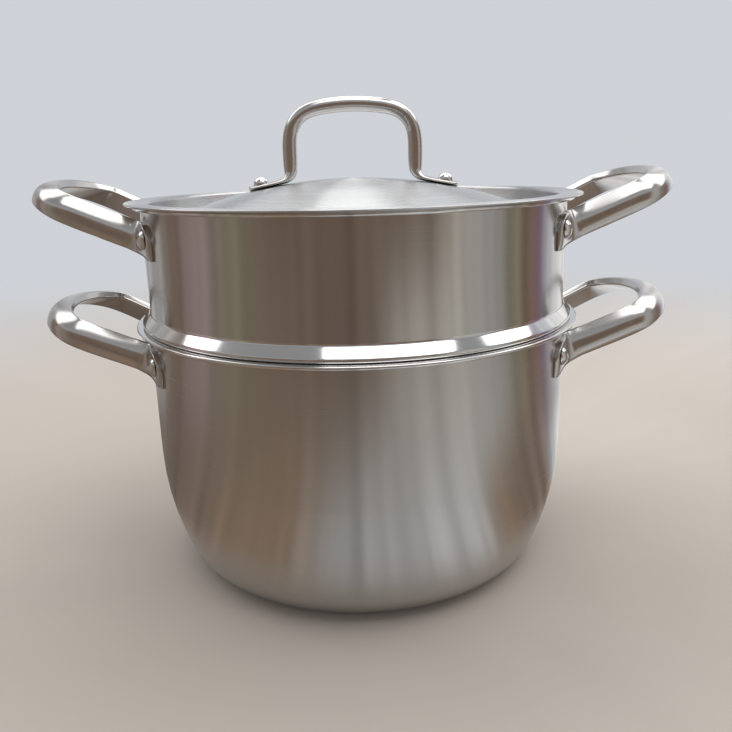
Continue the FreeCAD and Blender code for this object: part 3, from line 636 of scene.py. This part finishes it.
def softbox(name, place, aim, width, height, power):
    """Rectangular lamp at a place, turned to the point that it aims at."""
    light = bpy.data.lights.new(name, "AREA")
    light.shape = "RECTANGLE"
    light.size, light.size_y = width, height
    light.energy = power
    lamp = link(name, light)
    lamp.location = place
    lamp.rotation_euler = (Vector(aim) - Vector(place)).to_track_quat("-Z", "Y").to_euler()


softbox("key", (0.33, -0.5, 1.5), aim=(0.33, -0.21, 0.12), width=1.32, height=0.74, power=6.6)
softbox("strip", (0.0, 0.6, 1.45), aim=(-0.05, 0.1, 0.15), width=0.5, height=1.0, power=3.9)
softbox("left", (-1.33, 0.72, 1.3), aim=(-0.98, 0.72, 0.37), width=1.35, height=2.25, power=15)
softbox("right", (1.4, 0.65, 1.27), aim=(1.05, 0.65, 0.34), width=1.5, height=2.1, power=16)

# A curved glowing card, which is no lamp, gives the steel a warm, darker room to mirror: a painted
# reflection.
# It lies on the floor round the object, turns up behind the camera and shows in reflections only. Lengths in
# metres, turns in degrees
CARD_FADE = (0.11, 0.16)
CARD_RADIUS = 1.5
CARD_TOP = 1.0
CARD_LEVEL = 5e-4
CARD_SPAN = 150
CARD_STEPS = 96
SWING = math.radians(26)
SWING_REACH = (0.26, 0.4)
CLOSE_REACH = (0.25, 0.55)
FAR_REACH = (0.9, 1.2)
STREAK_SCALE = 9.0
STREAK_SPAN = (0.3, 0.7)
STREAK_STRENGTH = (0.7, 1.3)
# Colours of the room that is painted into the steel's reflections, and the bands they lie in round the object
WARM_DARK = (0.18, 0.14, 0.115)
WARM_MID = (0.25, 0.19, 0.15)
BROWN = (0.24, 0.15, 0.12)
FAR_BROWN = (0.215, 0.155, 0.12)
TAN = (0.34, 0.25, 0.18)
OLIVE = (0.28, 0.25, 0.18)
ROSE = (0.38, 0.29, 0.29)
MAUVE = (0.34, 0.24, 0.36)
BLUE = (0.62, 0.65, 0.69)
COOL = (0.68, 0.7, 0.72)
GREY = (0.46, 0.46, 0.46)
SOFT_GREY = (0.48, 0.49, 0.5)
PALE = (0.58, 0.56, 0.51)
BRIGHT = (0.95, 0.95, 0.95)
BANDS = (
    (-150, GREY), (-125, GREY), (-105, WARM_MID), (-85, ROSE), (-60, OLIVE), (-37, WARM_MID),
    (-15, WARM_DARK), (7, WARM_DARK), (20, PALE), (48, PALE), (67, GREY), (86, OLIVE),
    (99, BROWN), (107, MAUVE), (115, BLUE), (130, BRIGHT), (150, BRIGHT),
)
CLOSE_BANDS = (
    (-150, WARM_MID), (-125, WARM_DARK), (-105, WARM_DARK), (-85, WARM_DARK), (-47, WARM_MID), (-27, TAN),
    (-6, TAN), (21, SOFT_GREY), (34, SOFT_GREY), (54, COOL), (67, COOL), (86, TAN),
    (99, WARM_MID), (124, WARM_MID), (134, BLUE), (150, BRIGHT),
)


def band_ramp(tree, share, bands):
    """Output of a ramp that holds bands of colour at turns round the object."""
    ramp = tree.nodes.new("ShaderNodeValToRGB")
    ramp.color_ramp.interpolation = "EASE"
    while len(ramp.color_ramp.elements) < len(bands):
        ramp.color_ramp.elements.new(1.0)
    for element, (place, colour) in zip(ramp.color_ramp.elements, bands):
        element.position = place / (2 * CARD_SPAN) + 0.5
        element.color = (*colour, 1)
    tree.links.new(share, ramp.inputs[0])
    return ramp.outputs["Color"]


def painted_reflection_paint():
    """Painted reflection: glow in bands of colour with soft streaks, which fades out under the object."""
    paint = bpy.data.materials.new("painted_reflection_paint")
    paint.use_nodes = True
    tree = paint.node_tree
    tree.nodes.remove(tree.nodes["Principled BSDF"])
    split = tree.nodes.new("ShaderNodeSeparateXYZ")
    tree.links.new(tree.nodes.new("ShaderNodeNewGeometry").outputs["Position"], split.inputs[0])
    x, y = split.outputs["X"], split.outputs["Y"]
    in_front = math_node(tree, "MULTIPLY", y, -1.0)
    turn = math_node(tree, "ARCTAN2", x, in_front)
    away = axis_distance(tree, x, y)
    # Near the object the bands of painted reflection swing to the left
    swung = math_node(tree, "ADD", turn, map_range(tree, away, *SWING_REACH, SWING, 0.0, smooth=True))
    share = math_node(tree, "ADD", math_node(tree, "DIVIDE", swung, 2 * math.radians(CARD_SPAN)), 0.5)
    # Far in front the painted reflection's bands give way to one warm tone, and close to the object they are
    # softer and paler
    far = map_range(tree, in_front, *FAR_REACH)
    tone = mix_colours(tree, far, band_ramp(tree, share, BANDS), FAR_BROWN)
    close = map_range(tree, away, *CLOSE_REACH, 1.0, 0.0)
    tone = mix_colours(tree, close, tone, band_ramp(tree, share, CLOSE_BANDS))
    streaks = node_of(tree, "ShaderNodeTexNoise", Scale=STREAK_SCALE, Detail=2.0)
    streaks.noise_dimensions = "1D"
    tree.links.new(turn, streaks.inputs["W"])
    glow = tree.nodes.new("ShaderNodeEmission")
    tree.links.new(tone, glow.inputs["Color"])
    strength = map_range(tree, streaks.outputs["Fac"], *STREAK_SPAN, *STREAK_STRENGTH)
    tree.links.new(strength, glow.inputs["Strength"])
    fade = map_range(tree, away, *CARD_FADE, smooth=True)
    mix_surfaces(tree, fade, tree.nodes.new("ShaderNodeBsdfTransparent"), glow)
    return paint


card_rows = ((CARD_FADE[0], CARD_LEVEL), (CARD_RADIUS, CARD_LEVEL), (CARD_RADIUS, CARD_TOP))
card_points, card_faces = [], []
for step in range(CARD_STEPS + 1):
    turn = math.radians(CARD_SPAN) * (2 * step / CARD_STEPS - 1)
    card_points += [(away * math.sin(turn), -away * math.cos(turn), height) for away, height in card_rows]
for step in range(CARD_STEPS):
    for row in range(len(card_rows) - 1):
        low = step * len(card_rows) + row
        high = low + len(card_rows)
        card_faces.append((low, high, high + 1, low + 1))
card_mesh = bpy.data.meshes.new("card")
card_mesh.from_pydata(card_points, [], card_faces)
card_mesh.materials.append(painted_reflection_paint())
card = link("card", card_mesh)
card.visible_camera = False
card.visible_diffuse = False
card.visible_shadow = False

# Camera fitted to the photograph: place in metres, angles in radians, focal length in image pixels
CAMERA_PLACE = (0, -0.4316, 0.23345)
PITCH, YAW, ROLL = 0.2802, 0.0105, 0.0251
FOCAL_PX, FRAME_PX = 720, 732
SENSOR_MM = 36
ahead = Vector((math.cos(PITCH) * math.sin(YAW), math.cos(PITCH) * math.cos(YAW), -math.sin(PITCH)))
level = Vector((math.cos(YAW), -math.sin(YAW), 0))
above = level.cross(ahead)
right = level * math.cos(ROLL) - above * math.sin(ROLL)
up = level * math.sin(ROLL) + above * math.cos(ROLL)
camera_data = bpy.data.cameras.new("camera")
camera_data.sensor_width = SENSOR_MM
camera_data.lens = FOCAL_PX / FRAME_PX * SENSOR_MM
camera = link("camera", camera_data)
camera.matrix_world = Matrix.Translation(CAMERA_PLACE) @ Matrix((right, up, -ahead)).transposed().to_4x4()
bpy.context.scene.camera = camera
bpy.context.scene.view_settings.view_transform = "Standard"
